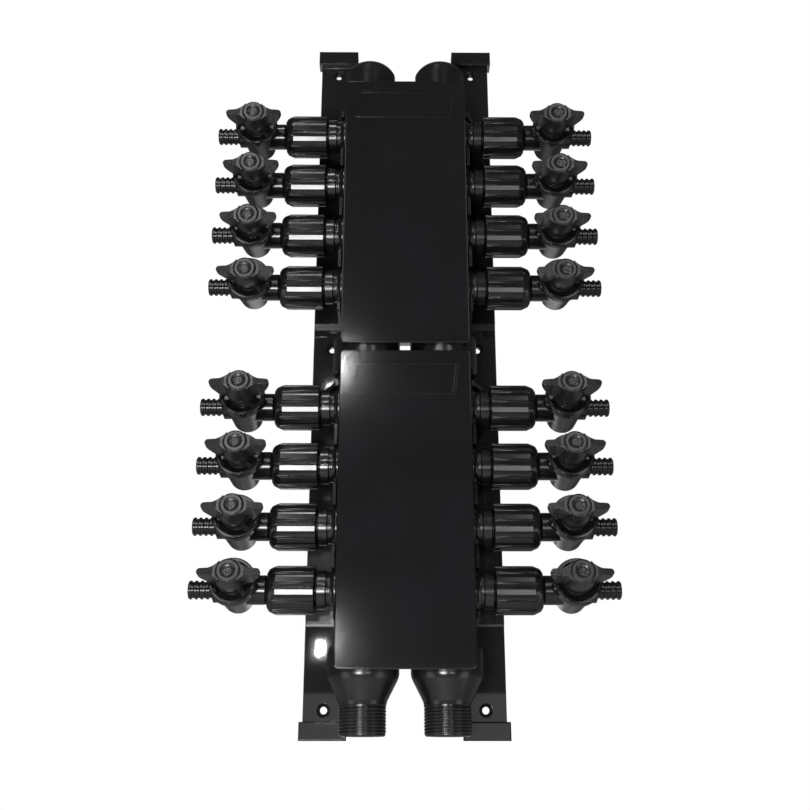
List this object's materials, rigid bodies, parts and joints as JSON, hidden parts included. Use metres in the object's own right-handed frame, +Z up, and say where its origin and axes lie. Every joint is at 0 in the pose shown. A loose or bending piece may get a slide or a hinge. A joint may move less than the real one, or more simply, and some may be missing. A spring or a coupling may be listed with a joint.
{
  "type": "twin header water manifold",
  "caption": "Black plastic twin-header water manifold on wall rails, with ribbed swivel nuts, quarter-turn valves and hose barbs down both sides.",
  "frame": {"origin": "centre of the four corner screw holes of the rails, in the plane of the wall", "axes": "+Z up along the headers, with the inlets at the bottom; -Y to the front, away from the wall; +X to the right"},
  "size_m": [0.3124, 0.0846, 0.582],
  "materials": {
    "pipe_plastic": "satin moulded black",
    "fitting_plastic": "glossy moulded black",
    "handle_plastic": "satin moulded black",
    "cover_plastic": "fine-grained black",
    "rail_plastic": "satin moulded black",
    "washer_rubber": "matt",
    "screw_steel": "zinc plated"
  },
  "bodies": {
    "manifold": {"end_cap_left": "pipe_plastic", "end_cap_right": "pipe_plastic", "front_cover_lower": "cover_plastic", "front_cover_upper": "cover_plastic", "header_coupling_left": "pipe_plastic", "header_coupling_right": "pipe_plastic", "header_pipe_lower_left": "pipe_plastic", "header_pipe_lower_right": "pipe_plastic", "header_pipe_upper_left": "pipe_plastic", "header_pipe_upper_right": "pipe_plastic", "header_tray_lower": "pipe_plastic", "header_tray_upper": "pipe_plastic", "inlet_adapter_left": "pipe_plastic", "inlet_adapter_right": "pipe_plastic", "outlet_washers": "washer_rubber", "swivel_nuts_lower_left": "fitting_plastic", "swivel_nuts_lower_right": "fitting_plastic", "swivel_nuts_upper_left": "fitting_plastic", "swivel_nuts_upper_right": "fitting_plastic", "tray_screws": "screw_steel", "valve_body_lower_left_1": "fitting_plastic", "valve_body_lower_left_2": "fitting_plastic", "valve_body_lower_left_3": "fitting_plastic", "valve_body_lower_left_4": "fitting_plastic", "valve_body_lower_right_1": "fitting_plastic", "valve_body_lower_right_2": "fitting_plastic", "valve_body_lower_right_3": "fitting_plastic", "valve_body_lower_right_4": "fitting_plastic", "valve_body_upper_left_1": "fitting_plastic", "valve_body_upper_left_2": "fitting_plastic", "valve_body_upper_left_3": "fitting_plastic", "valve_body_upper_left_4": "fitting_plastic", "valve_body_upper_right_1": "fitting_plastic", "valve_body_upper_right_2": "fitting_plastic", "valve_body_upper_right_3": "fitting_plastic", "valve_body_upper_right_4": "fitting_plastic", "wall_rail_left": "rail_plastic", "wall_rail_right": "rail_plastic"},
    "handle_upper_left_1": {"valve_handle_upper_left_1": "handle_plastic"},
    "handle_upper_left_2": {"valve_handle_upper_left_2": "handle_plastic"},
    "handle_upper_left_3": {"valve_handle_upper_left_3": "handle_plastic"},
    "handle_upper_left_4": {"valve_handle_upper_left_4": "handle_plastic"},
    "handle_upper_right_1": {"valve_handle_upper_right_1": "handle_plastic"},
    "handle_upper_right_2": {"valve_handle_upper_right_2": "handle_plastic"},
    "handle_upper_right_3": {"valve_handle_upper_right_3": "handle_plastic"},
    "handle_upper_right_4": {"valve_handle_upper_right_4": "handle_plastic"},
    "handle_lower_left_1": {"valve_handle_lower_left_1": "handle_plastic"},
    "handle_lower_left_2": {"valve_handle_lower_left_2": "handle_plastic"},
    "handle_lower_left_3": {"valve_handle_lower_left_3": "handle_plastic"},
    "handle_lower_left_4": {"valve_handle_lower_left_4": "handle_plastic"},
    "handle_lower_right_1": {"valve_handle_lower_right_1": "handle_plastic"},
    "handle_lower_right_2": {"valve_handle_lower_right_2": "handle_plastic"},
    "handle_lower_right_3": {"valve_handle_lower_right_3": "handle_plastic"},
    "handle_lower_right_4": {"valve_handle_lower_right_4": "handle_plastic"}
  },
  "joints": [
    {"name": "shutoff_upper_left_1", "type": "hinge", "parent": "manifold", "child": "handle_upper_left_1", "pos_m": [-0.1225, -0.038, 0.1875], "axis": [0, 0.9976, 0.0698], "range_deg": [0, 90]},
    {"name": "shutoff_upper_left_2", "type": "hinge", "parent": "manifold", "child": "handle_upper_left_2", "pos_m": [-0.1225, -0.038, 0.1415], "axis": [0, 0.9976, 0.0698], "range_deg": [0, 90]},
    {"name": "shutoff_upper_left_3", "type": "hinge", "parent": "manifold", "child": "handle_upper_left_3", "pos_m": [-0.1225, -0.038, 0.0955], "axis": [0, 0.9976, 0.0698], "range_deg": [0, 90]},
    {"name": "shutoff_upper_left_4", "type": "hinge", "parent": "manifold", "child": "handle_upper_left_4", "pos_m": [-0.1225, -0.038, 0.0495], "axis": [0, 0.9976, 0.0698], "range_deg": [0, 90]},
    {"name": "shutoff_upper_right_1", "type": "hinge", "parent": "manifold", "child": "handle_upper_right_1", "pos_m": [0.1225, -0.038, 0.1875], "axis": [0, 0.9976, 0.0698], "range_deg": [0, 90]},
    {"name": "shutoff_upper_right_2", "type": "hinge", "parent": "manifold", "child": "handle_upper_right_2", "pos_m": [0.1225, -0.038, 0.1415], "axis": [0, 0.9976, 0.0698], "range_deg": [0, 90]},
    {"name": "shutoff_upper_right_3", "type": "hinge", "parent": "manifold", "child": "handle_upper_right_3", "pos_m": [0.1225, -0.038, 0.0955], "axis": [0, 0.9976, 0.0698], "range_deg": [0, 90]},
    {"name": "shutoff_upper_right_4", "type": "hinge", "parent": "manifold", "child": "handle_upper_right_4", "pos_m": [0.1225, -0.038, 0.0495], "axis": [0, 0.9976, 0.0698], "range_deg": [0, 90]},
    {"name": "shutoff_lower_left_1", "type": "hinge", "parent": "manifold", "child": "handle_lower_left_1", "pos_m": [-0.1225, -0.038, -0.0505], "axis": [0, 0.9877, -0.1564], "range_deg": [0, 90]},
    {"name": "shutoff_lower_left_2", "type": "hinge", "parent": "manifold", "child": "handle_lower_left_2", "pos_m": [-0.1225, -0.038, -0.0965], "axis": [0, 0.9877, -0.1564], "range_deg": [0, 90]},
    {"name": "shutoff_lower_left_3", "type": "hinge", "parent": "manifold", "child": "handle_lower_left_3", "pos_m": [-0.1225, -0.038, -0.1425], "axis": [0, 0.9877, -0.1564], "range_deg": [0, 90]},
    {"name": "shutoff_lower_left_4", "type": "hinge", "parent": "manifold", "child": "handle_lower_left_4", "pos_m": [-0.1225, -0.038, -0.1885], "axis": [0, 0.9877, -0.1564], "range_deg": [0, 90]},
    {"name": "shutoff_lower_right_1", "type": "hinge", "parent": "manifold", "child": "handle_lower_right_1", "pos_m": [0.1225, -0.038, -0.0505], "axis": [0, 0.9877, -0.1564], "range_deg": [0, 90]},
    {"name": "shutoff_lower_right_2", "type": "hinge", "parent": "manifold", "child": "handle_lower_right_2", "pos_m": [0.1225, -0.038, -0.0965], "axis": [0, 0.9877, -0.1564], "range_deg": [0, 90]},
    {"name": "shutoff_lower_right_3", "type": "hinge", "parent": "manifold", "child": "handle_lower_right_3", "pos_m": [0.1225, -0.038, -0.1425], "axis": [0, 0.9877, -0.1564], "range_deg": [0, 90]},
    {"name": "shutoff_lower_right_4", "type": "hinge", "parent": "manifold", "child": "handle_lower_right_4", "pos_m": [0.1225, -0.038, -0.1885], "axis": [0, 0.9877, -0.1564], "range_deg": [0, 90]}
  ]
}
